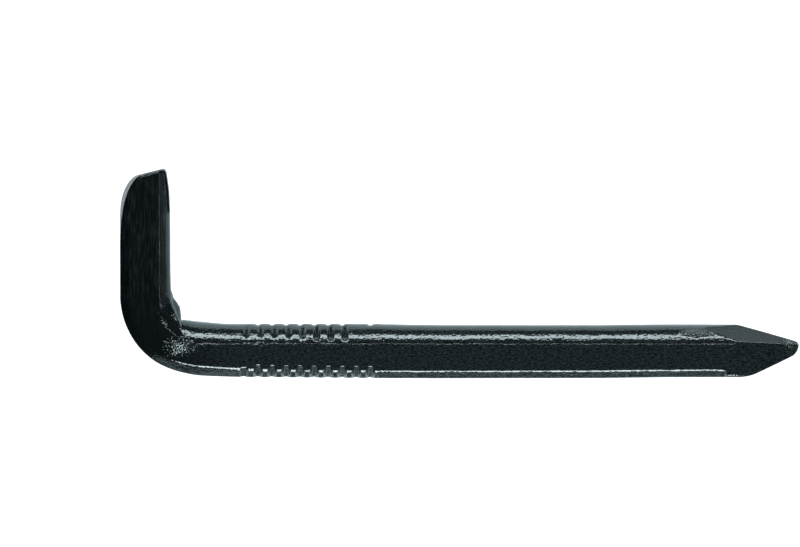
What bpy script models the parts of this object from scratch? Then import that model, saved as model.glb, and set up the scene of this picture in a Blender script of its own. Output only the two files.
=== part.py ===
"""A bent hook nail: one length of drawn steel bar, pointed at one end and bent square near the other.

It lies on its flat back. The shank runs along X, the hook stands up along Y and the back is at Z = 0.
The origin is under the middle of the nail's box. Lengths are metres.
"""
import math

import bmesh
import bpy
from mathutils import Matrix, Vector

# Overall size
LENGTH = 0.0800
HEIGHT = 0.02464

# Bar
SHANK_THICKNESS = 0.00630
SHANK_DEPTH = 0.00560
HOOK_THICKNESS = 0.00592
HOOK_END_DEPTH = 0.00605

# Broken corners of the bar
FRONT_CHAMFER_WIDTH = 0.00082
FRONT_CHAMFER_DROP = 0.00120
BACK_CHAMFER = 0.00042
SHANK_ROUND_WIDTH = 0.00213
HOOK_ROUND_WIDTH = 0.00139
BACK_ROUND_WIDTH = 0.00080
ROUND_START_ANGLE = 20.0
ROUND_STEPS = 7
BACK_ROUND_STEPS = 4

# Bend
BEND_OUTER_RADIUS = 0.00960
BEND_STEPS = 16
ROOT_SWELL = 0.00035
ROOT_SWELL_LENGTH = 0.00300

# Fold pushed up at the inner side of the bend
FOLD_RISE = 0.00410
FOLD_SHOULDER_RISE = 0.00230
FOLD_SHOULDER_REACH = 0.00092
FOLD_FOOT_RISE = 0.00070
FOLD_FOOT_REACH = 0.00130
FOLD_TOE_REACH = 0.00162
FOLD_TOE_DROP = 0.00170
FOLD_BACK_GAP = 0.00060
FOLD_FRONT_GAP = 0.00075

# Hook end, cut on a slant and rounded over at its outer corner
END_SLANT = 15.0
END_ROUND_ACROSS = 0.00282
END_ROUND_ALONG = 0.00470
END_ROUND_STEPS = 10
END_INNER_RADIUS = 0.00047
END_INNER_STEPS = 4

# Point
TIP_RADIUS = 0.00060
TIP_ABOVE_MIDDLE = 0.00068
TOP_FACET_ROLL = 38.0
TOP_FACET_SLOPE = 12.6
TOP_FACET_OFFSET = 0.00048
SIDE_FACET_ROLL = 95.0
SIDE_FACET_SLOPE = 16.0
SIDE_FACET_OFFSET = 0.00055
BOTTOM_FACET_SLOPE = 24.0
BOTTOM_FACET_OFFSET = 0.00098
BLUNT_SLOPES = (47.0, 70.0)
BLUNT_FACETS_ROUND = 6
BLUNT_START_ROLL = 10.0

# Gripper notches
NOTCH_SIDES = 16
NOTCH_PITCH = 0.00165
FIRST_NOTCH_FROM_HOOK = 0.01480
NOTCH_WIDTH = 0.00080
LOWER_NOTCH_COUNT = 10
LOWER_NOTCH_DEPTH = 0.00045
UPPER_NOTCH_COUNT = 8
UPPER_NOTCH_DEPTH = 0.00050
UPPER_NOTCH_ANGLE = 62.0
UPPER_NOTCH_SLANT = 10.0

# Dent in the front face past the notches
DENT_SEGMENTS = 40
DENT_RINGS = 32
DENT_RADIUS = 0.00400
DENT_DEPTH = 0.00015
DENT_FROM_HOOK = 0.03100

# Cutters reach this far past what they cut, and the blocks that cut facets are this big
CLEAR = 0.00300
BLOCK_SIZE = 0.03000

# Faces that meet at less than this angle are shaded as one round
SMOOTH_ANGLE = 25.0


def clear_scene():
    """Remove every object that the new file holds."""
    for item in list(bpy.data.objects):
        bpy.data.objects.remove(item, do_unlink=True)


def new_collection(name):
    """A collection linked to the scene."""
    collection = bpy.data.collections.new(name)
    bpy.context.scene.collection.children.link(collection)
    return collection


def steel_material():
    """Drawn steel, blackened, with a dull shine."""
    material = bpy.data.materials.new("blackened_steel")
    material.use_nodes = True
    shader = material.node_tree.nodes["Principled BSDF"]
    shader.inputs["Base Color"].default_value = (0.020, 0.026, 0.027, 1.0)
    shader.inputs["Metallic"].default_value = 0.85
    shader.inputs["Roughness"].default_value = 0.36
    return material


def mesh_object(name, builder, collection):
    """An object made from a bmesh, which is freed here."""
    mesh = bpy.data.meshes.new(name)
    bmesh.ops.recalc_face_normals(builder, faces=builder.faces)
    builder.to_mesh(mesh)
    builder.free()
    item = bpy.data.objects.new(name, mesh)
    collection.objects.link(item)
    return item


def add_boolean(body, other, operation):
    """Join another solid to the body, or cut it away. The other one is only a guide afterwards."""
    other.display_type = "WIRE"
    other.hide_render = True
    modifier = body.modifiers.new(other.name, "BOOLEAN")
    modifier.operation = operation
    modifier.solver = "EXACT"
    modifier.object = other


def round_corner(width, steps):
    """Arc that leaves a flat face at ROUND_START_ANGLE and ends square to it.

    Gives pairs: distance in from the side, and distance down from the face.
    """
    start = math.radians(ROUND_START_ANGLE)
    radius = width / (1.0 - math.sin(start))
    pairs = []
    for step in range(steps):
        angle = start + (math.pi / 2 - start) * step / (steps - 1)
        inward = radius * (1.0 - math.sin(angle))
        down = radius * (math.cos(start) - math.cos(angle))
        pairs.append((inward, down))
    return pairs


def bar_section(thickness, depth, round_width):
    """The bar's outline as (distance in from the outer side, height above the back)."""
    outline = [(BACK_CHAMFER, 0.0), (0.0, BACK_CHAMFER)]
    outline.append((0.0, depth - FRONT_CHAMFER_DROP))
    outline.append((FRONT_CHAMFER_WIDTH, depth))
    for inward, down in round_corner(round_width, ROUND_STEPS):
        outline.append((thickness - inward, depth - down))
    for inward, down in reversed(round_corner(BACK_ROUND_WIDTH, BACK_ROUND_STEPS)):
        outline.append((thickness - inward, down))
    return outline


def bar_stations():
    """Places along the outer side: point, direction in, thickness, depth and rounded width.

    They run down the hook, round the bend and along the shank. The hook is spread towards its end, and the
    bend leaves the root of the shank a little swollen.
    """
    left = -LENGTH / 2
    bottom = -HEIGHT / 2
    centre = Vector((left + BEND_OUTER_RADIUS, bottom + BEND_OUTER_RADIUS, 0.0))
    hook_top = Vector((left, HEIGHT / 2 + CLEAR, 0.0))
    shank_end = Vector((LENGTH / 2 + CLEAR, bottom, 0.0))
    stations = [(hook_top, Vector((1.0, 0.0, 0.0)), HOOK_THICKNESS, HOOK_END_DEPTH, HOOK_ROUND_WIDTH)]
    for step in range(BEND_STEPS + 1):
        share = step / BEND_STEPS
        angle = math.pi + share * math.pi / 2
        outward = Vector((math.cos(angle), math.sin(angle), 0.0))
        ease = share * share * (3.0 - 2.0 * share)
        thickness = HOOK_THICKNESS + (SHANK_THICKNESS + ROOT_SWELL - HOOK_THICKNESS) * ease
        width = HOOK_ROUND_WIDTH + (SHANK_ROUND_WIDTH - HOOK_ROUND_WIDTH) * ease
        stations.append((centre + outward * BEND_OUTER_RADIUS, -outward, thickness, SHANK_DEPTH, width))
    upward = Vector((0.0, 1.0, 0.0))
    swell_end = centre + Vector((ROOT_SWELL_LENGTH, -BEND_OUTER_RADIUS, 0.0))
    for point in (swell_end, shank_end):
        stations.append((point, upward, SHANK_THICKNESS, SHANK_DEPTH, SHANK_ROUND_WIDTH))
    return stations


def make_bar(collection):
    """The bar before its point, end and notches are cut: a loft, because its section changes."""
    builder = bmesh.new()
    rings = []
    for point, inward, thickness, depth, width in bar_stations():
        ring = []
        for across, height in bar_section(thickness, depth, width):
            ring.append(builder.verts.new(point + inward * across + Vector((0.0, 0.0, height))))
        rings.append(ring)
    for ring, following in zip(rings, rings[1:]):
        for index in range(len(ring)):
            beside = (index + 1) % len(ring)
            builder.faces.new((ring[index], ring[beside], following[beside], following[index]))
    builder.faces.new(list(reversed(rings[0])))
    builder.faces.new(rings[-1])
    return mesh_object("hook_nail", builder, collection)


def prism(name, outline, low, high, collection):
    """A flat outline in X and Y, filled and raised from low to high, as a closed mesh."""
    curve = bpy.data.curves.new(name, "CURVE")
    curve.dimensions = "2D"
    curve.fill_mode = "BOTH"
    curve.extrude = (high - low) / 2
    spline = curve.splines.new("POLY")
    spline.points.add(len(outline) - 1)
    for point, (x, y) in zip(spline.points, outline):
        point.co = (x, y, 0.0, 1.0)
    spline.use_cyclic_u = True
    drawn = bpy.data.objects.new(name + "_outline", curve)
    drawn.location = (0.0, 0.0, (low + high) / 2)
    collection.objects.link(drawn)
    bpy.context.view_layer.update()
    evaluated = drawn.evaluated_get(bpy.context.evaluated_depsgraph_get())
    mesh = bpy.data.meshes.new_from_object(evaluated)
    builder = bmesh.new()
    builder.from_mesh(mesh)
    bmesh.ops.remove_doubles(builder, verts=builder.verts, dist=0.000001)
    solid = mesh_object(name, builder, collection)
    solid.matrix_world = drawn.matrix_world
    bpy.data.objects.remove(drawn, do_unlink=True)
    bpy.data.meshes.remove(mesh)
    return solid


def end_cutter(collection):
    """What the slanted cut and the rounded outer corner take off the hook's end."""
    left = -LENGTH / 2
    top = HEIGHT / 2
    slope = math.tan(math.radians(END_SLANT))
    inner_side = left + HOOK_THICKNESS
    round_top = top - (HOOK_THICKNESS - END_ROUND_ACROSS - END_INNER_RADIUS) * slope
    outline = [(left - CLEAR, top + CLEAR), (left - CLEAR, round_top - END_ROUND_ALONG)]
    for step in range(END_ROUND_STEPS + 1):
        angle = math.radians(90.0 - END_SLANT) * step / END_ROUND_STEPS
        x = left + END_ROUND_ACROSS * (1.0 - math.cos(angle))
        y = round_top - END_ROUND_ALONG * (1.0 - math.sin(angle))
        outline.append((x, y))
    for step in range(END_INNER_STEPS + 1):
        angle = math.pi / 2 * step / END_INNER_STEPS
        x = inner_side - END_INNER_RADIUS * (1.0 - math.sin(angle))
        y = top - END_INNER_RADIUS * (1.0 - math.cos(angle))
        outline.append((x, y))
    outline.append((inner_side + CLEAR, top - END_INNER_RADIUS))
    outline.append((inner_side + CLEAR, top + CLEAR))
    return prism("end_cutter", outline, -CLEAR, HOOK_END_DEPTH + CLEAR, collection)


def fold_solid(collection):
    """The lump of steel that the bend pushed up in the inner corner and over the shank's round."""
    corner_x = -LENGTH / 2 + HOOK_THICKNESS
    corner_y = -HEIGHT / 2 + SHANK_THICKNESS
    inside = corner_x - HOOK_THICKNESS / 4
    outline = [
        (inside, corner_y - FOLD_TOE_DROP),
        (corner_x + FOLD_TOE_REACH, corner_y - FOLD_TOE_DROP),
        (corner_x + FOLD_FOOT_REACH, corner_y + FOLD_FOOT_RISE),
        (corner_x + FOLD_SHOULDER_REACH, corner_y + FOLD_SHOULDER_RISE),
        (corner_x, corner_y + FOLD_RISE),
        (inside, corner_y + FOLD_RISE),
    ]
    return prism("fold", outline, FOLD_BACK_GAP, SHANK_DEPTH - FOLD_FRONT_GAP, collection)


def tip_centre():
    """Middle of the blunt tip's ball."""
    middle = -HEIGHT / 2 + SHANK_THICKNESS / 2
    return Vector((LENGTH / 2 - TIP_RADIUS, middle + TIP_ABOVE_MIDDLE, SHANK_DEPTH / 2))


def facet_cutter(name, roll, slope, offset, collection):
    """A block whose inner face is one facet of the point.

    Roll turns the facet about the shank from facing up the hook towards the front. Slope is its angle to
    the shank, and offset its distance from the middle of the tip's ball.
    """
    builder = bmesh.new()
    bmesh.ops.create_cube(builder, size=BLOCK_SIZE)
    block = mesh_object(name, builder, collection)
    turn = Matrix.Rotation(math.radians(roll), 4, "X")
    lean = Matrix.Rotation(math.radians(-slope), 4, "Z")
    shift = Matrix.Translation((0.0, offset + BLOCK_SIZE / 2, 0.0))
    block.matrix_world = Matrix.Translation(tip_centre()) @ turn @ lean @ shift
    return block


def point_cutters(collection):
    """The blocks that cut the point: a pair above, a pair at the sides and one below.

    Before them a flat end and rings of small facets, all as far from the middle of the tip as its radius,
    make the tip blunt, so that the long facets never meet in one sharp corner. Each ring is turned half a
    facet from the one before it.
    """
    facets = [(0.0, 90.0, TIP_RADIUS)]
    for ring, slope in enumerate(BLUNT_SLOPES):
        for index in range(BLUNT_FACETS_ROUND):
            roll = BLUNT_START_ROLL + 360.0 * (index + ring / 2) / BLUNT_FACETS_ROUND
            facets.append((roll, slope, TIP_RADIUS))
    for side in (1.0, -1.0):
        facets.append((side * TOP_FACET_ROLL, TOP_FACET_SLOPE, TOP_FACET_OFFSET))
        facets.append((side * SIDE_FACET_ROLL, SIDE_FACET_SLOPE, SIDE_FACET_OFFSET))
    facets.append((180.0, BOTTOM_FACET_SLOPE, BOTTOM_FACET_OFFSET))
    cutters = []
    for index, (roll, slope, offset) in enumerate(facets):
        cutters.append(facet_cutter("facet_" + str(index), roll, slope, offset, collection))
    return cutters


def notch_row(name, count, seat, axis, collection):
    """A row of round bars along the shank. Seat is the middle of the first one, axis its direction."""
    builder = bmesh.new()
    turn = axis.to_track_quat("Z", "Y").to_matrix().to_4x4()
    for index in range(count):
        place = Matrix.Translation(seat + Vector((NOTCH_PITCH * index, 0.0, 0.0)))
        bmesh.ops.create_cone(
            builder,
            cap_ends=True,
            segments=NOTCH_SIDES,
            radius1=NOTCH_WIDTH / 2,
            radius2=NOTCH_WIDTH / 2,
            depth=SHANK_THICKNESS,
            matrix=place @ turn,
        )
    return mesh_object(name, builder, collection)


def lower_notches(collection):
    """Notches across the front chamfer, on the side away from the hook."""
    along = Vector((0.0, FRONT_CHAMFER_WIDTH, FRONT_CHAMFER_DROP)).normalized()
    outward = Vector((0.0, -along.z, along.y))
    middle = Vector((
        -LENGTH / 2 + FIRST_NOTCH_FROM_HOOK,
        -HEIGHT / 2 + FRONT_CHAMFER_WIDTH / 2,
        SHANK_DEPTH - FRONT_CHAMFER_DROP / 2,
    ))
    seat = middle + outward * (NOTCH_WIDTH / 2 - LOWER_NOTCH_DEPTH)
    return notch_row("lower_notches", LOWER_NOTCH_COUNT, seat, along, collection)


def upper_notches(collection):
    """Notches across the big round corner, on the side of the hook, a little aslant."""
    start = math.radians(ROUND_START_ANGLE)
    radius = SHANK_ROUND_WIDTH / (1.0 - math.sin(start))
    centre_y = -HEIGHT / 2 + SHANK_THICKNESS - radius
    centre_z = SHANK_DEPTH - radius * math.cos(start)
    angle = math.radians(UPPER_NOTCH_ANGLE)
    outward = Vector((0.0, math.sin(angle), math.cos(angle)))
    along = Vector((-math.tan(math.radians(UPPER_NOTCH_SLANT)), math.cos(angle), -math.sin(angle)))
    centre = Vector((-LENGTH / 2 + FIRST_NOTCH_FROM_HOOK, centre_y, centre_z))
    seat = centre + outward * (radius + NOTCH_WIDTH / 2 - UPPER_NOTCH_DEPTH)
    return notch_row("upper_notches", UPPER_NOTCH_COUNT, seat, along.normalized(), collection)


def dent_ball(collection):
    """Ball that presses the shallow dent into the front face."""
    builder = bmesh.new()
    bmesh.ops.create_uvsphere(builder, u_segments=DENT_SEGMENTS, v_segments=DENT_RINGS, radius=DENT_RADIUS)
    ball = mesh_object("dent", builder, collection)
    ball.location = (
        -LENGTH / 2 + DENT_FROM_HOOK,
        -HEIGHT / 2 + SHANK_THICKNESS / 2,
        SHANK_DEPTH + DENT_RADIUS - DENT_DEPTH,
    )
    return ball


def main():
    clear_scene()
    nail_parts = new_collection("bent_hook_nail")
    guides = new_collection("guides")
    nail = make_bar(nail_parts)
    nail.data.materials.append(steel_material())
    nail.data.shade_smooth()
    nail.data.set_sharp_from_angle(angle=math.radians(SMOOTH_ANGLE))
    add_boolean(nail, fold_solid(guides), "UNION")
    for cutter in point_cutters(guides):
        add_boolean(nail, cutter, "DIFFERENCE")
    add_boolean(nail, end_cutter(guides), "DIFFERENCE")
    add_boolean(nail, lower_notches(guides), "DIFFERENCE")
    add_boolean(nail, upper_notches(guides), "DIFFERENCE")
    add_boolean(nail, dent_ball(guides), "DIFFERENCE")


main()
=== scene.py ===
"""Bent hook nail of blackened steel, lying on its flat back on a pale floor and seen from straight above."""

import bpy
import numpy as np
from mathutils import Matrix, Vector


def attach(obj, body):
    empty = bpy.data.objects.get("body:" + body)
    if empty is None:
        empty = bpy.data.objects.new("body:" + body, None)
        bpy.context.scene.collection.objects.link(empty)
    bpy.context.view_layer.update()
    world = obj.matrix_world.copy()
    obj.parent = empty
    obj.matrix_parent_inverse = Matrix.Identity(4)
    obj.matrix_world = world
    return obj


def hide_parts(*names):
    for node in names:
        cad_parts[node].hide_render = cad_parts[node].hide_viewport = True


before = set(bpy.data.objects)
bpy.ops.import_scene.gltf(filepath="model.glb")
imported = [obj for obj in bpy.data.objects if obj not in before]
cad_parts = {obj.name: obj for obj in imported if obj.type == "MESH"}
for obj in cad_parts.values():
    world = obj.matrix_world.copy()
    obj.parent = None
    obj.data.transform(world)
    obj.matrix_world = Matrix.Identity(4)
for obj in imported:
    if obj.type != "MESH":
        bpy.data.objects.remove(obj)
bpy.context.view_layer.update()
scene = bpy.context.scene

# The nail is one length of drawn bar, about 6 mm thick, cut to a faceted point and bent square near the
# other end. Its front corner on the outer side is a flat chamfer, and the one on the inner side a big round.
# Notches are rolled into both corners near the bend, and the bend has pushed up a fold at its inner side.
# Its sizes are in millimetres here: places of the outer sides and of the first notch, and a line inside the
# bar, the core, that the surface is measured from.
HOOK, BEND, SHANK = 0, 1, 2
BEND_CENTRE = (-30.40, -2.72)
BEND_RADIUS = 9.60
BEND_STEPS = 10.0
HOOK_SIDE = -40.0
SHANK_SIDE = -12.32
FIRST_NOTCH = -25.2
NOTCH_PITCH = 1.65
CORE_HEIGHT = 2.8
CORE_RADIUS = 6.55
HOOK_CORE = (-36.55, 7.6)
POINT_CORE = (38.6, -8.55)


def smooth_max(first, second, width):
    """The larger of two fields, rounded over where they differ by less than the width."""
    near = np.maximum(width - np.abs(first - second), 0) / width
    return np.maximum(first, second) + near * near * width / 4


def eased(share):
    """A share from 0 to 1 levelled off at both ends: three times its square less twice its cube."""
    return share * share * (3 - 2 * share)


def nearest_notch(step):
    """The number of the notch nearest to a place, given in pitches, and the distance past it in mm."""
    number = np.round(step)
    return number, (step - number) * NOTCH_PITCH


def ripple(x, y, z, seed, count, length, stretch):
    """Uneven relief of about -1 to 1: the mean of sine waves that run in scattered directions.

    Wave lengths lie near the given length, and stretch gives each axis its own share of that frequency.
    """
    rng = np.random.default_rng(seed)
    total = np.zeros_like(x)
    for _ in range(count):
        way = rng.normal(size=3)
        way = way / np.linalg.norm(way) * np.array(stretch) * 2 * np.pi / (length * rng.uniform(0.7, 1.5))
        total += np.sin(way[0] * x + way[1] * y + way[2] * z + rng.uniform(0, 2 * np.pi))
    return total / count ** 0.5 / 1.5


def bar_field(kind, q, a, x, y, z):
    """How far a point is outside the nail, in millimetres, from its place along and across the bar.

    q runs along the bar (0 to 10 round the bend), a is the distance in from the outer side's nominal place
    and z the height above the back. The bar is where every face's own distance is below 0, so the field is
    the largest of them, and each pair is joined with a small round.
    """
    # Places across the bar: its outer side, its inner side, where its front face ends, the front's height
    # and the chamfer's width. Past x = 31 the chamfer runs out.
    inset = np.interp(
        q,
        [
            -9.7, -5.5, 0.0, 2.2, 4.4, 6.2, 7.1, 7.9, 8.7, 9.3,
            10.1, 11.6, 13.0, 14.6, 31.0, 38.0, 57.0, 64.0, 72.0,
        ],
        [
            0.0, 0.10, 0.12, 0.19, 0.235, 0.31, 0.39, 0.435, 0.45, 0.41,
            0.33, 0.26, 0.21, 0.165, 0.024, 0.0, 0.03, 0.12, 0.15,
        ],
    )
    inner = np.interp(
        q,
        [
            -14.4, -13.4, -12.5, -11.5, -10.0, -3.1, -0.7, 2.0, 5.5, 6.0,
            7.3, 8.9, 10.0, 11.6, 13.0, 31.0, 33.4, 38.0, 57.0, 64.0,
        ],
        [
            5.66, 5.80, 5.92, 5.99, 6.03, 6.06, 6.12, 6.10, 6.07, 6.31,
            6.60, 6.73, 6.73, 6.56, 6.46, 6.44, 6.38, 6.31, 6.31, 6.39,
        ],
    )
    edge = np.interp(
        q,
        [-1.0, 0.5, 1.6, 3.4, 6.2, 7.5, 10.0, 20.0],
        [4.63, 4.60, 4.42, 4.18, 4.06, 4.03, 3.93, 3.93],
    )
    front = np.interp(q, [-15.0, 0.0], [6.02, 5.60])
    chamfer = np.interp(q, [0.0, 5.0, 10.0, 13.0, 17.0, 20.0], [1.00, 1.10, 1.15, 1.05, 0.90, 0.83])
    on_shank = kind == SHANK
    run_out = 1 - 0.97 * eased(np.clip(np.where(on_shank, x - 31.1, 0.0) / 0.7, 0, 1))
    chamfer = chamfer * run_out
    drop = 1.20 * run_out
    along = np.where(on_shank, (x - FIRST_NOTCH) / NOTCH_PITCH, -9.0)

    # Notches in the outer chamfer: ten flat-bottomed grooves, leaning a little towards the bend lower down.
    number, offset = nearest_notch(along + 0.04 + 0.05 * np.clip((1.4 - a) / 1.4, 0, 1))
    in_row = (number >= 0) & (number <= 9)
    strength = np.where(number == 0, 0.35, 1.0)
    wall = np.clip((0.58 - np.abs(offset)) / 0.40, 0, 1)
    lower_groove = np.where(in_row, strength * eased(wall), 0.0)
    lower_lip = np.where(in_row, np.clip(1 - wall * 4, 0, 1), 0.0)
    side_nick = np.where(in_row, np.exp(-((offset / 0.30) ** 2)), 0.0)

    # Notches in the inner round: eight pockets with a raised lower lip, the first four shorter and
    # shallower, and valleys in the side between them. turned is the angle round that corner, 0 at the front
    # and 90 at the side.
    start = np.radians(16.6)
    radius = (inner - edge) / (1 - np.sin(start))
    centre_a = inner - radius
    centre_z = front - radius * np.cos(start)
    turned = np.degrees(np.arctan2(a - centre_a, np.maximum(z - centre_z, -3.0)))
    number, offset = nearest_notch(along - 0.12)
    in_row = (number >= 0) & (number <= 7)
    strength = np.interp(number, [3.0, 5.0], [0.40, 1.0])
    low_end = np.interp(number, [3.0, 5.0], [30.0, 22.0])
    wall = np.clip((0.46 - np.hypot(offset, np.maximum(low_end + 8.0 - turned, 0) / 20.0)) / 0.32, 0, 1)
    rise = np.clip((turned - low_end) / 18.0, 0, 1)
    fade = np.clip((78.0 - turned) / 26.0, 0, 1)
    pocket = np.where(in_row, 0.36 * strength * eased(wall) * eased(rise) * eased(fade), 0.0)
    swell = np.exp(-((offset / 0.45) ** 4) - ((turned - low_end + 4.0) / 5.0) ** 2)
    lip = np.where(in_row, 0.05 * swell, 0.0)
    number, offset = nearest_notch(along - 0.93)
    in_row = (number >= 0) & (number <= 8) & (number != 7)
    on_side = 1 / (1 + np.exp((76.0 - turned) / 3.0))
    valley = np.where(in_row, 0.20 * np.exp(-((offset / 0.26) ** 2)), 0.0) * on_side
    in_row = (along > -0.35) & (along < 9.65)
    ridge = np.exp(-(((np.abs(offset) - 0.83) / 0.35) ** 2))
    valley = valley - np.where(in_row, 0.05 * ridge, 0.0) * on_side

    # Flat faces, chamfers and rounds of the bar, with two shallow dents in the front, one a third of the way
    # along the shank and one beside the fold, and the narrow worn flat on the outer corner.
    relief = 0.016 * ripple(x, y, z, 5, 12, 2.6, (1.0, 1.0, 1.0))
    streaks = 0.004 * ripple(x, y, z, 8, 12, 0.55, (0.12, 1.0, 1.0))
    uneven = relief + np.where(on_shank, streaks, 0.0)
    outer_side = inset - a + 0.10 * side_nick
    middle = (inset + edge) / 2
    dent = 0.08 * np.exp(-(((x + 8.9) / 0.55) ** 2) - ((y + 8.9) / 0.75) ** 2)
    dent = dent + 0.15 * np.exp(-(((x + 33.0) / 0.60) ** 2) - ((y + 7.95) / 0.33) ** 2)
    crown = 0.05 * ((a - middle) / 2.2) ** 2
    front_face = z - front + crown + dent + uneven
    slope = np.hypot(chamfer, drop)
    chamfer_face = ((inset + chamfer - a) * drop + (z - front) * chamfer) / slope
    chamfer_face = chamfer_face + 0.47 * lower_groove - 0.04 * lower_lip + uneven
    flat = np.radians(35.0)
    worn_edge = (inset + chamfer - a) * np.sin(flat) + (z - front) * np.cos(flat)
    worn_edge = worn_edge + np.interp(q, [8.0, 16.0], [0.045, 0.074])
    worn_edge = worn_edge + 0.29 * lower_groove + uneven
    worn_edge = worn_edge - 0.3 * np.clip(np.where(on_shank, x - 30.9, 0.0), 0, 1)
    back_chamfer = ((inset + 0.42 - a) + (0.0 - z)) / 2 ** 0.5
    round_face = np.hypot(np.maximum(a - centre_a, 0), np.maximum(z - centre_z, 0)) - radius
    round_face = round_face + pocket - lip + valley + uneven
    softened = np.interp(q, [4.0, 7.0], [0.20, 0.05])
    faces = smooth_max(smooth_max(front_face, chamfer_face, softened), outer_side, 0.10)
    faces = np.where(q > 3.0, smooth_max(faces, worn_edge, 0.03), faces)
    dashes = np.clip(0.2 + 1.6 * ripple(x, y, z, 21, 8, 1.3, (1.0, 0.2, 0.2)), 0, 1)
    dashes = dashes * np.interp(q, [9.0, 12.0, 26.5, 27.5, 69.0, 70.5], [1.0, 0.8, 1.0, 0.0, 0.0, 0.8])
    shank_like = smooth_max(faces, round_face, 0.03 + 0.13 * dashes)

    # Up the hook, and over the bend, the inner corner is a bevel instead. It flattens round the bend and
    # ends as a flap that laps over the shank's round.
    flap = np.interp(
        q,
        [-14.4, -12.5, -10.0, -3.1, 0.3, 3.0, 4.4, 5.5, 6.68, 7.68, 8.1],
        [5.66, 5.92, 6.03, 6.06, 6.17, 6.19, 6.04, 5.84, 5.17, 4.33, 0.0],
    )
    turn = np.radians(np.interp(q, [-0.5, 2.5, 5.0], [46.0, 33.0, 24.0]))
    bevel = (a - edge - 0.02) * np.sin(turn) + (z - front + 0.02) * np.cos(turn) + uneven
    bevel = bevel + 0.05 * ((a - edge - 0.95) / 0.9) ** 2 - 0.03
    flap_edge = smooth_max(bevel, a - flap + uneven, np.interp(q, [-1.5, 1.0], [0.30, 0.06]))
    hook_like = smooth_max(faces, flap_edge, np.interp(q, [-1.0, 3.0], [0.15, 0.22]))
    sunk = 0.9 * (1 - eased(np.clip((q - 2.5) / 2.5, 0, 1)))
    joined = -smooth_max(-shank_like - sunk, -hook_like, 0.03)
    upper = np.where(q < 2.5, hook_like, np.where(q < 8.1, joined, shank_like))

    # The lump that the bend pushed out of the inner side, below the flap.
    reach = np.interp(
        q,
        [-2.0, -1.4, -0.9, -0.3, 0.0, 0.4, 1.0, 1.6, 2.8, 3.8, 4.7, 5.5, 5.8],
        [0.0, 5.60, 6.10, 6.33, 6.40, 6.48, 6.66, 6.79, 6.90, 6.75, 6.48, 6.12, 0.0],
    )
    lean = np.radians(50.0)
    lump = smooth_max((z - 3.9) * np.cos(lean) + (a - 6.0) * np.sin(lean), a - reach, 0.15)
    lump = smooth_max(lump, np.maximum(0.6 - z, 5.5 - a), 0.3)
    upper = -smooth_max(-upper, -lump, 0.05)

    # The back, flat on the ground, with a small chamfer on the outer side and a round on the inner one.
    side = np.maximum(inner, reach)
    corner = 0.9
    back_round = np.hypot(np.maximum(a - side + corner, 0), np.maximum(corner - z, 0)) - corner
    lower = smooth_max(smooth_max(-z, back_chamfer, 0.1), back_round, 0.1)
    return smooth_max(upper, lower, 0.1)


def end_field(x, y, z):
    """How far a point is past the cut end of the hook: a slanting end and a long round at the outer corner.

    The round is part of an ellipse that grows towards the front, so that the cut leans a few degrees.
    """
    lean = z / 6.0
    across = 2.15 + 0.35 * lean
    down = 4.23 + 1.25 * lean
    left = HOOK_SIDE + 0.34 * lean * np.clip((y - 3.0) / 4.0, 0, 1)
    level = y - 0.25 * (x - HOOK_SIDE)
    part_x = np.minimum(x - left - across, 0) / across
    part_y = np.maximum(level - (11.10 - 0.12 * lean - down), 0) / down
    size = np.maximum(np.hypot(part_x, part_y), 0.01)
    steepness = np.maximum(np.hypot(part_x / across, part_y / down), 0.01) / size
    return (size - 1) / steepness


def point_field(x, y, z):
    """How far a point is outside the sharpened end, the largest of its distances past five facets.

    Two facets are on the hook's side of the bar, turned to the front and to the back. One is in front, one
    behind and one on the outer side. Roll is the way a facet looks, round the bar from +Y to the front. Each
    bulges a little along its length, a blunt cone rounds off the tip and a flat cut ends it.
    """
    tip = (39.46, -8.49, 2.80)
    back = np.clip((tip[0] - x) / 11.0, -0.1, 1.2)
    flare = np.clip((tip[0] - x - 6.3) / 4.1, 0, 1) ** 1.6
    field = np.full_like(x, -50.0)
    for roll, slope, offset, bulge, flared, round_off in (
        (38.0, 12.6, 0.48, 0.05, 0.31, 0.08),
        (-38.0, 12.6, 0.48, 0.05, 0.31, 0.08),
        (95.0, 16.0, 0.55, 0.10, 0.0, 0.08),
        (-95.0, 16.0, 0.55, 0.10, 0.0, 0.08),
        (180.0, 24.0, 0.98, 0.15, 0.0, 0.25),
    ):
        s, r = np.radians(slope), np.radians(roll)
        way = (np.sin(s), np.cos(s) * np.cos(r), np.cos(s) * np.sin(r))
        facet = way[0] * (x - tip[0]) + way[1] * (y - tip[1]) + way[2] * (z - tip[2]) - offset
        facet = facet - bulge * 4 * back * (1 - back) + flared * flare
        field = smooth_max(field, facet, round_off)
    radial = np.hypot(y - tip[1], z - tip[2])
    nose = (x - tip[0]) * np.sin(np.radians(60.0)) + radial * np.cos(np.radians(60.0)) - 0.56
    return smooth_max(smooth_max(field, nose, 0.20), x - 40.0, 0.30)


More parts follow.
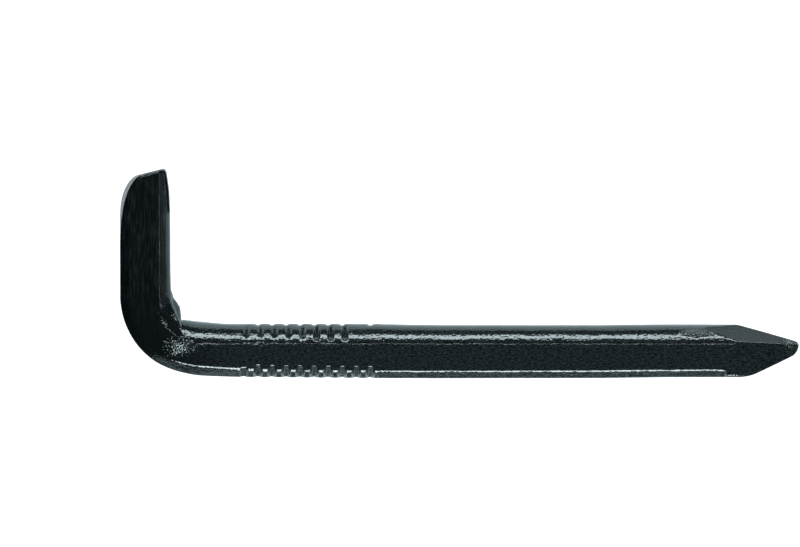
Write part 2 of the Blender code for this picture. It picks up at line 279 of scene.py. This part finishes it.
def nail_surface():
    """Grid of points on the nail, with a pole at each end, in millimetres.

    Rings of rays leave the core, square to it, and fans of rays turn from the last rings to point along the
    bar at both ends. Each ray is followed to where the field changes sign, by halving. Rings stand closer
    together at the notches, the bend and the point, and rays closer at the bar's corners.
    """
    rays_per_ring = 108
    longest_ray = 12.0
    halvings = 34
    hook_y = np.linspace(HOOK_CORE[1], BEND_CENTRE[1], 70, endpoint=False)
    bend = np.radians(np.linspace(0, 90, 170, endpoint=False))
    shank_x = np.concatenate([
        np.linspace(BEND_CENTRE[0], -25.9, 45, endpoint=False),
        np.linspace(-25.9, -9.6, 260, endpoint=False),
        np.linspace(-9.6, 27.5, 130, endpoint=False),
        np.linspace(27.5, POINT_CORE[0], 120),
    ])
    fan = np.radians(np.linspace(0, 90, 46))[1:-1]
    tip_fan = np.radians(np.linspace(0, 90, 16))[1:-1]

    # A row for each ring: its stretch of the bar, its place round the bend, its x and y, the way across the
    # bar there, the way along it at an end and how far the rays are turned to that.
    rows = []
    for turn in fan[::-1]:
        rows.append((HOOK, 0, *HOOK_CORE, 1, 0, 0, 1, turn))
    for level in hook_y:
        rows.append((HOOK, 0, -36.95, level, 1, 0, 0, 0, 0))
    for angle in bend:
        out_x, out_y = -np.cos(angle), -np.sin(angle)
        core_x = BEND_CENTRE[0] + out_x * CORE_RADIUS
        core_y = BEND_CENTRE[1] + out_y * CORE_RADIUS
        rows.append((BEND, angle / (np.pi / 2) * BEND_STEPS, core_x, core_y, -out_x, -out_y, 0, 0, 0))
    for place in shank_x:
        level = np.interp(place, [27.0, POINT_CORE[0]], [-9.27, POINT_CORE[1]])
        rows.append((SHANK, 0, place, level, 0, 1, 0, 0, 0))
    for turn in tip_fan:
        rows.append((SHANK, 0, *POINT_CORE, 0, 1, 1, 0, turn))
    rows = np.array(rows, float)[:, :, None]
    kind, bend_q, cx, cy, nx, ny, end_x, end_y, turn = np.moveaxis(rows, 1, 0)

    fine = np.linspace(-np.pi, np.pi, 4001)
    density = np.full_like(fine, 1.0)
    for corner, spread in ((127.0, 0.14), (152.0, 0.08), (66.0, 0.16), (-40.0, 0.15), (-137.0, 0.12)):
        gap = np.angle(np.exp(1j * (fine - np.radians(corner))))
        density += 3.5 * np.exp(-((gap / spread) ** 2))
    total = np.cumsum(density)
    total = (total - total[0]) / (total[-1] - total[0])
    around = np.interp(np.arange(rays_per_ring) / rays_per_ring, total, fine)[None, :]

    flat = np.cos(turn)
    way_n = flat * np.cos(around)
    way_x = way_n * nx + np.sin(turn) * end_x
    way_y = way_n * ny + np.sin(turn) * end_y
    way_z = flat * np.sin(around)
    low = np.zeros_like(way_x)
    high = np.full_like(way_x, longest_ray)
    for _ in range(halvings):
        mid = (low + high) / 2
        x, y, z = cx + mid * way_x, cy + mid * way_y, CORE_HEIGHT + mid * way_z
        inside = nail_field(kind, bend_q, x, y, z) < 0
        low = np.where(inside, mid, low)
        high = np.where(inside, high, mid)
    points = np.stack([cx + low * way_x, cy + low * way_y, CORE_HEIGHT + low * way_z], axis=-1)

    # The poles lie straight along the core's ends, at the first of 6,000 steps that is outside.
    poles = []
    span = np.linspace(0, longest_ray, 6001)[None, :]
    for (core_x, core_y), part, along_x, along_y in (
        (HOOK_CORE, HOOK, 0.0, 1.0),
        (POINT_CORE, SHANK, 1.0, 0.0),
    ):
        part = np.array([[float(part)]])
        x, y, z = core_x + span * along_x, core_y + span * along_y, np.full_like(span, CORE_HEIGHT)
        value = nail_field(part, part * 0, x, y, z)
        reach = span[0][np.argmax(value[0] > 0)]
        poles.append((core_x + reach * along_x, core_y + reach * along_y, CORE_HEIGHT))
    return points, np.array(poles)


def nail_field(kind, bend_q, x, y, z):
    """How far a point is outside the whole nail: the bar and its fold, less what the two ends cut off."""
    rho = np.hypot(x - BEND_CENTRE[0], y - BEND_CENTRE[1])
    shank_q = BEND_STEPS + x - BEND_CENTRE[0]
    a = np.where(kind == HOOK, x - HOOK_SIDE, np.where(kind == BEND, BEND_RADIUS - rho, y - SHANK_SIDE))
    q = np.where(kind == HOOK, BEND_CENTRE[1] - y, np.where(kind == BEND, bend_q, shank_q))
    field = bar_field(kind, q, a, x, y, z)
    cut = end_field(x, y, z)
    corner = np.interp(a, [4.6, 5.6], [0.22, 0.90])
    field = np.where(kind == HOOK, smooth_max(field, cut, corner), field)
    round_off = np.interp(y, [-12.0, -10.0], [0.45, 0.06])
    return np.where((kind == SHANK) & (x > 20), smooth_max(field, point_field(x, y, z), round_off), field)


grid, poles = nail_surface()
rings, rays = grid.shape[:2]
vertices = np.vstack([grid.reshape(-1, 3), poles]) / 1000
ring = np.arange(rings - 1)[:, None] * rays
ray = np.arange(rays)
next_ray = (ray + 1) % rays
quads = np.stack([ring + ray, ring + next_ray, ring + rays + next_ray, ring + rays + ray], axis=-1)
pole = rings * rays
last_ring = pole - rays
start_cap = np.stack([np.full(rays, pole), next_ray, ray], axis=-1)
end_cap = np.stack([np.full(rays, pole + 1), last_ring + ray, last_ring + next_ray], axis=-1)
faces = quads.reshape(-1, 4).tolist() + start_cap.tolist() + end_cap.tolist()
mesh = bpy.data.meshes.new("bent_hook_nail")
mesh.from_pydata(vertices.tolist(), [], faces)
mesh.validate()
mesh.shade_smooth()
nail = bpy.data.objects.new("bent_hook_nail", mesh)
scene.collection.objects.link(nail)

# Blackened steel: a dark blue-green oxide under a thin film of oil, shiny enough for the edges to glint,
# with fine lines from drawing along the bar and a fine speckle. Places are in metres, so that a pattern's
# scale is 1000 over the size of its cells in millimetres. Real pits and lines are finer, and these are as
# coarse as they need to be to show.


def linear(code):
    """A six-figure sRGB hex colour as linear red, green and blue with an alpha of 1."""
    part = np.array([int(code[i:i + 2], 16) for i in (1, 3, 5)]) / 255
    value = np.where(part <= 0.04045, part / 12.92, ((part + 0.055) / 1.055) ** 2.4)
    return (*[float(v) for v in value], 1.0)


def add_node(tree, kind, settings=None, **sockets):
    """A new node with its settings and input values set, or its inputs linked from other sockets."""
    node = tree.nodes.new(kind)
    for name, value in (settings or {}).items():
        setattr(node, name, value)
    for name, value in sockets.items():
        socket = node.inputs[int(name[1:])] if name[1:].isdigit() else node.inputs[name.replace("_", " ")]
        if isinstance(value, bpy.types.NodeSocket):
            tree.links.new(value, socket)
        else:
            socket.default_value = value
    return node


steel = bpy.data.materials.new("blackened_steel")
steel.use_nodes = True
tree = steel.node_tree
tree.nodes.clear()
place = add_node(tree, "ShaderNodeTexCoord").outputs["Object"]
axes = add_node(tree, "ShaderNodeSeparateXYZ", Vector=place)
hook_starts = {"From_Min": -0.0045, "From_Max": -0.0015}
on_hook = add_node(tree, "ShaderNodeMapRange", Value=axes.outputs["Y"], **hook_starts)
along_shank = add_node(tree, "ShaderNodeMapping", Vector=place, Scale=(0.08, 1.0, 1.0))
along_hook = add_node(tree, "ShaderNodeMapping", Vector=place, Scale=(1.0, 0.08, 1.0))
drawing = {"Scale": 1000 / 0.24, "Detail": 2.0}
shank_lines = add_node(tree, "ShaderNodeTexNoise", Vector=along_shank.outputs["Vector"], **drawing)
hook_lines = add_node(tree, "ShaderNodeTexNoise", Vector=along_hook.outputs["Vector"], **drawing)
lines = add_node(
    tree,
    "ShaderNodeMix",
    Factor=on_hook.outputs["Result"],
    _2=shank_lines.outputs["Fac"],
    _3=hook_lines.outputs["Fac"],
)
speckle = add_node(tree, "ShaderNodeTexNoise", Vector=place, Scale=1000 / 0.25, Detail=0.0)
grain = add_node(tree, "ShaderNodeMapping", Vector=place, Scale=(0.42, 1.0, 1.0))
mottle = add_node(
    tree,
    "ShaderNodeTexNoise",
    Vector=grain.outputs["Vector"],
    Scale=1000 / 0.16,
    Detail=2.0,
    Roughness=0.6,
)
colour = add_node(tree, "ShaderNodeValToRGB", Fac=mottle.outputs["Fac"])
colour.color_ramp.elements[0].position = 0.36
colour.color_ramp.elements[0].color = linear("#0c1112")
colour.color_ramp.elements[1].position = 0.68
colour.color_ramp.elements[1].color = linear("#2d3537")
# The base colour is darker on the hook than on the shank. It is plain and very dark over the bend below y =
# -9 mm, and streaked higher up the hook.
to_shank = add_node(tree, "ShaderNodeMapRange", Value=axes.outputs["X"], From_Min=-0.0350, From_Max=-0.0270)
fine_lines = add_node(
    tree,
    "ShaderNodeTexNoise",
    Vector=along_hook.outputs["Vector"],
    Scale=1000 / 0.15,
    Detail=2.0,
)
streaked = add_node(tree, "ShaderNodeValToRGB", Fac=fine_lines.outputs["Fac"])
streaked.color_ramp.elements[0].position = 0.46
streaked.color_ramp.elements[0].color = linear("#0c1011")
streaked.color_ramp.elements[1].position = 0.74
streaked.color_ramp.elements[1].color = linear("#23292b")
past_bend = add_node(tree, "ShaderNodeMapRange", Value=axes.outputs["Y"], From_Min=-0.0090, From_Max=0.0010)
hook_tone = add_node(
    tree,
    "ShaderNodeMix",
    {"data_type": "RGBA"},
    Factor=past_bend.outputs["Result"],
    _6=linear("#0d1112"),
    _7=streaked.outputs["Color"],
)
base_tone = add_node(
    tree,
    "ShaderNodeMix",
    {"data_type": "RGBA"},
    Factor=to_shank.outputs["Result"],
    _6=hook_tone.outputs[2],
    _7=colour.outputs["Color"],
)
dull = add_node(
    tree,
    "ShaderNodeMapRange",
    Value=mottle.outputs["Fac"],
    From_Min=0.3,
    From_Max=0.7,
    To_Min=0.08,
    To_Max=0.16,
)

# Pits in three oval patches: one of 4.7 by 2.8 mm below the fold's lower end, one of 3 mm at the tip, and a
# torn one of 4.8 by 1.2 mm where the inner corner runs out at the point. Each is given by its centre, the
# share of its length along the shank that counts as distance, and the distances at which it starts to fade
# and ends, in metres. The fourth, wider one places the painted glints below the fold.
patches = []
for centre, drawn_out, full, gone in (
    ((-0.0329, -0.0087, 0.0056), 0.6, 0.0004, 0.0014),
    ((0.0390, -0.0081, 0.0036), 1.0, 0.0005, 0.0015),
    ((0.0280, -0.0070, 0.0048), 0.25, 0.0003, 0.0006),
    ((-0.0329, -0.0087, 0.0056), 0.6, 0.0, 0.0036),
):
    oval = add_node(tree, "ShaderNodeMapping", Vector=place, Scale=(drawn_out, 1.0, 1.0))
    away = add_node(
        tree,
        "ShaderNodeVectorMath",
        {"operation": "DISTANCE"},
        _0=oval.outputs["Vector"],
        _1=(centre[0] * drawn_out, centre[1], centre[2]),
    )
    patches.append(add_node(
        tree,
        "ShaderNodeMapRange",
        Value=away.outputs["Value"],
        From_Min=full,
        From_Max=gone,
        To_Min=1.0,
        To_Max=0.0,
    ).outputs["Result"])
patch = add_node(tree, "ShaderNodeMath", {"operation": "MAXIMUM"}, _0=patches[0], _1=patches[1])
patch = add_node(tree, "ShaderNodeMath", {"operation": "MAXIMUM"}, _0=patch.outputs[0], _1=patches[2])
pits = add_node(tree, "ShaderNodeTexNoise", Vector=place, Scale=1000 / 0.25, Detail=0.0)
product = {"operation": "MULTIPLY"}
pitted = add_node(tree, "ShaderNodeMath", product, _0=pits.outputs["Fac"], _1=patch.outputs[0])

# In the fourth patch, pale specks of 0.17 mm, fewer towards its edge, are painted into the colour as
# painted highlights: they stand in for the glints where the bend's surface sparkles.
glint_noise = add_node(tree, "ShaderNodeTexNoise", Vector=place, Scale=1000 / 0.17, Detail=0.0)
glint_spread = add_node(tree, "ShaderNodeMath", product, _0=glint_noise.outputs["Fac"], _1=patches[3])
painted_glints = add_node(tree, "ShaderNodeMapRange", Value=glint_spread.outputs[0], From_Min=0.49, From_Max=0.58)
# The pale #b4c2c4 specks are a painted highlight, not bare steel.
base_and_painted_glints = add_node(
    tree,
    "ShaderNodeMix",
    {"data_type": "RGBA"},
    Factor=painted_glints.outputs["Result"],
    _6=base_tone.outputs[2],
    _7=linear("#b4c2c4"),
)

# Relief too fine for the surface: the drawing lines, the pits, and the speckle, which is weak on the hook.
smooth_hook = add_node(
    tree,
    "ShaderNodeMapRange",
    Value=axes.outputs["Y"],
    To_Min=1.0,
    To_Max=0.15,
    **hook_starts,
)
lines_bump = add_node(tree, "ShaderNodeBump", Height=lines.outputs[0], Strength=0.6, Distance=0.00002)
pits_bump = add_node(
    tree,
    "ShaderNodeBump",
    Height=pitted.outputs[0],
    Strength=1.0,
    Distance=0.0002,
    Normal=lines_bump.outputs["Normal"],
)
speckle_bump = add_node(
    tree,
    "ShaderNodeBump",
    Height=speckle.outputs["Fac"],
    Strength=smooth_hook.outputs["Result"],
    Distance=0.00002,
    Normal=pits_bump.outputs["Normal"],
)
surface = add_node(
    tree,
    "ShaderNodeBsdfPrincipled",
    Base_Color=base_and_painted_glints.outputs[2],
    Metallic=0.0,
    Roughness=dull.outputs["Result"],
    IOR=1.6,
    Specular_Tint=linear("#e8f4f4"),
    Normal=speckle_bump.outputs["Normal"],
)
add_node(tree, "ShaderNodeOutputMaterial", Surface=surface.outputs["BSDF"])
mesh.materials.append(steel)
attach(nail, "root")
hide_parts("hook_nail")

# Pale floor, a sheet of paper 1.8 m square. For the camera and in mirrors it glows as well as being lit, so
# that it shows as white and keeps the nail's soft shadow. The nail mirrors it as a pale blue.
floor_mesh = bpy.data.meshes.new("floor")
half = 0.9
corners = [(-half, -half, 0), (half, -half, 0), (half, half, 0), (-half, half, 0)]
floor_mesh.from_pydata(corners, [], [(0, 1, 2, 3)])
floor = bpy.data.objects.new("floor", floor_mesh)
floor.location = (0.0, 0.0, -0.00002)
scene.collection.objects.link(floor)
paper = bpy.data.materials.new("white_paper")
paper.use_nodes = True
tree = paper.node_tree
tree.nodes.clear()
path = add_node(tree, "ShaderNodeLightPath")
seen = path.outputs["Is Camera Ray"]
for kind in ("Is Glossy Ray", "Is Transmission Ray"):
    either = add_node(tree, "ShaderNodeMath", {"operation": "MAXIMUM"}, _0=seen, _1=path.outputs[kind])
    seen = either.outputs[0]
sheet = add_node(tree, "ShaderNodeBsdfDiffuse", Color=linear("#b4b4b4"))
tint = add_node(
    tree,
    "ShaderNodeMix",
    {"data_type": "RGBA"},
    Factor=path.outputs["Is Camera Ray"],
    _6=linear("#c5dde5"),
    _7=linear("#ffffff"),
)
glow = add_node(tree, "ShaderNodeEmission", Color=tint.outputs[2], Strength=1.15)
both = add_node(tree, "ShaderNodeAddShader", _0=glow.outputs[0], _1=sheet.outputs[0])
shown = add_node(tree, "ShaderNodeMixShader", _0=seen, _1=sheet.outputs[0], _2=both.outputs[0])
add_node(tree, "ShaderNodeOutputMaterial", Surface=shown.outputs[0])
floor_mesh.materials.append(paper)


def softbox(name, location, target, width, height, power):
    """A rectangular lamp at the location, facing the target."""
    lamp = bpy.data.lights.new(name, "AREA")
    lamp.shape = "RECTANGLE"
    lamp.size = width
    lamp.size_y = height
    lamp.energy = power
    lamp.color = linear("#f4fbff")[:3]
    item = bpy.data.objects.new(name, lamp)
    item.location = location
    item.rotation_mode = "QUATERNION"
    item.rotation_quaternion = (Vector(target) - Vector(location)).to_track_quat("-Z", "Y")
    scene.collection.objects.link(item)


# Two long low soft boxes, one beyond the hook's free end and one on the near side, which the corners of
# the bar mirror as bright lines. A strip hangs high beyond the hook, and a dim box and a strip are on the
# right.
nail_middle = (0.0, 0.0, 0.005)
softbox("far_box", (0.01, 0.28, 0.110), nail_middle, 0.44, 0.080, 1.15)
softbox("near_box", (0.01, -0.28, 0.105), nail_middle, 0.26, 0.090, 1.30)
softbox("high_strip", (0.01, 0.10, 0.28), nail_middle, 0.26, 0.014, 0.11)
softbox("right_box", (0.25, 0.0, 0.045), nail_middle, 0.16, 0.090, 0.006)
softbox("right_strip", (0.25, 0.0, 0.14), nail_middle, 0.16, 0.02, 0.035)


def lying_sheet(x0, x1, y0, y1, height):
    """The four corners of a level rectangle."""
    return [(x0, y0, height), (x1, y0, height), (x1, y1, height), (x0, y1, height)]


def mirrored_sheets(name, material_name, code, corners):
    """Flat sheets of one colour, four corners each, that show in the steel but not to the camera.

    They throw no shadow and leave the light on matt faces as it is.
    """
    sheet_mesh = bpy.data.meshes.new(name)
    sheet_mesh.from_pydata(corners, [], [(n, n + 1, n + 2, n + 3) for n in range(0, len(corners), 4)])
    item = bpy.data.objects.new(name, sheet_mesh)
    scene.collection.objects.link(item)
    item.visible_camera = False
    item.visible_shadow = False
    item.visible_diffuse = False
    card = bpy.data.materials.new(material_name)
    card.use_nodes = True
    card.node_tree.nodes.clear()
    matt = add_node(card.node_tree, "ShaderNodeBsdfDiffuse", Color=linear(code))
    add_node(card.node_tree, "ShaderNodeOutputMaterial", Surface=matt.outputs[0])
    sheet_mesh.materials.append(card)


# Black cards round the set, of which three stand and four lie on the floor. The standing ones leave a dark
# line between the floor and the soft boxes, and the lying ones darken the bar's sides.
card_corners = []
for x0, y0, x1, y1, low, top in (
    (-0.056, -0.036, -0.056, 0.036, 0.0, 0.030),
    (-0.056, 0.036, 0.100, 0.036, 0.0, 0.0125),
    (0.100, -0.028, -0.056, -0.028, 0.0035, 0.0095),
):
    card_corners += [(x0, y0, low), (x1, y1, low), (x1, y1, top), (x0, y0, top)]
for sides in (
    (-0.056, -0.0435, -0.036, 0.036),
    (-0.030, 0.029, 0.007, 0.036),
    (0.045, 0.300, -0.020, 0.0),
    (-0.0435, 0.100, -0.028, -0.0215),
):
    card_corners += lying_sheet(*sides, height=0.0002)
mirrored_sheets("cards", "black_card", "#101010", card_corners)

# Pale grey sheets of card on the floor, beside the cut end, beyond the point and on the near side, which the
# faces there mirror.
grey_corners = []
for sides in (
    (-0.0435, -0.0340, -0.003, 0.0150),
    (0.029, 0.100, -0.003, 0.036),
    (-0.0435, 0.100, -0.060, -0.033),
):
    grey_corners += lying_sheet(*sides, height=0.0001)
mirrored_sheets("grey_sheets", "grey_card", "#eef6f8", grey_corners)

# A dark room round the floor.
world = bpy.data.worlds.new("studio")
scene.world = world
world.use_nodes = True
room = world.node_tree.nodes["Background"]
room.inputs["Color"].default_value = linear("#59636a")
room.inputs["Strength"].default_value = 0.10

# Long lens straight above the middle of the picture, which lies 7 mm left of the nail's middle. Colours are
# shown as they are worked out, without a film curve.
scene.view_settings.view_transform = "Standard"
lens = bpy.data.cameras.new("camera")
lens.sensor_width = 36.0
lens.lens = 918.4
lens.clip_start = 0.01
lens.clip_end = 10.0
camera = bpy.data.objects.new("camera", lens)
camera.location = (-0.00697, 0.00002, 2.403)
scene.collection.objects.link(camera)
scene.camera = camera
